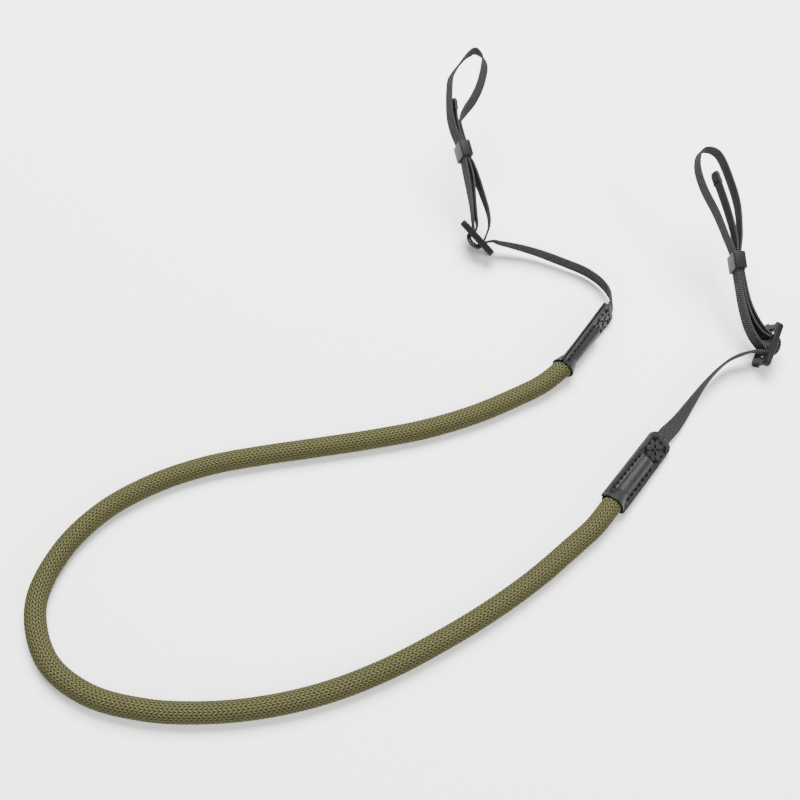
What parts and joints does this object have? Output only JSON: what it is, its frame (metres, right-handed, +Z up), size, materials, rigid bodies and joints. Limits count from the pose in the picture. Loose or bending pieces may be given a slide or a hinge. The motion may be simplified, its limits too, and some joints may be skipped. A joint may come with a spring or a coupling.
{
  "type": "camera neck strap",
  "caption": "Braided olive rope neck strap in an open U, with leather ends, black webbing bands, sliders, keepers and lug loops.",
  "frame": {"origin": "centre of the strap's bounding box, at the height of the floor it lies on", "axes": "+Z up from the floor; the U opens towards +X and its closed bend points to -X"},
  "size_m": [0.4104, 0.4092, 0.0671],
  "materials": {
    "rope": "olive braided cover",
    "leather": "black, smooth, half matte",
    "webbing": "black ribbed nylon weave",
    "plastic": "dark grey satin"
  },
  "bodies": {
    "root": {"rope": "rope", "near_leather_front": "leather", "near_leather_back": "leather", "near_webbing": "webbing", "near_slider": "plastic", "near_keeper": "plastic", "far_leather_front": "leather", "far_leather_back": "leather", "far_webbing": "webbing", "far_slider": "plastic", "far_keeper": "plastic"}
  },
  "joints": []
}
